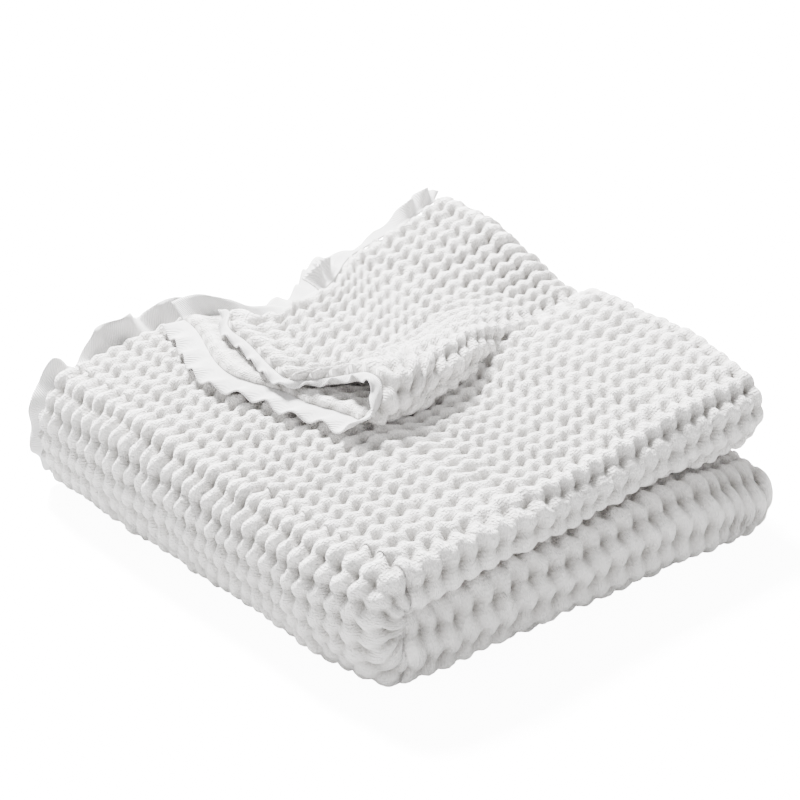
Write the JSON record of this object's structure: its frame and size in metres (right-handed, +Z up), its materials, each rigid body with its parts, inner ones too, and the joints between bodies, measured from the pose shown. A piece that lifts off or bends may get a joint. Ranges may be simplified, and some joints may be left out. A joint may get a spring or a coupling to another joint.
{
  "type": "folded baby blanket",
  "caption": "Thick honeycomb-weave cotton baby blanket with a ruffled ribbed binding, folded into a soft square stack with a flap rolled back over its rear corner.",
  "frame": {"origin": "on the surface that the blanket lies on, under the middle of its box", "axes": "+Z up; -Y the spine of the last fold, +X the rounded fold noses, -X the bound edges"},
  "size_m": [0.3848, 0.369, 0.1416],
  "materials": {
    "honeycomb_cotton": "soft matt woven cotton in puffed honeycomb cells",
    "ribbed_cotton": "matt finely ribbed cotton"
  },
  "bodies": {
    "root": {"cloth": "honeycomb_cotton", "binding_outer_edge": "ribbed_cotton", "binding_inner_edge": "ribbed_cotton", "binding_upper_end": "ribbed_cotton", "binding_lower_end": "ribbed_cotton", "flap_binding_end": "ribbed_cotton", "flap_binding_below": "ribbed_cotton", "flap_binding_above": "ribbed_cotton"}
  },
  "joints": []
}
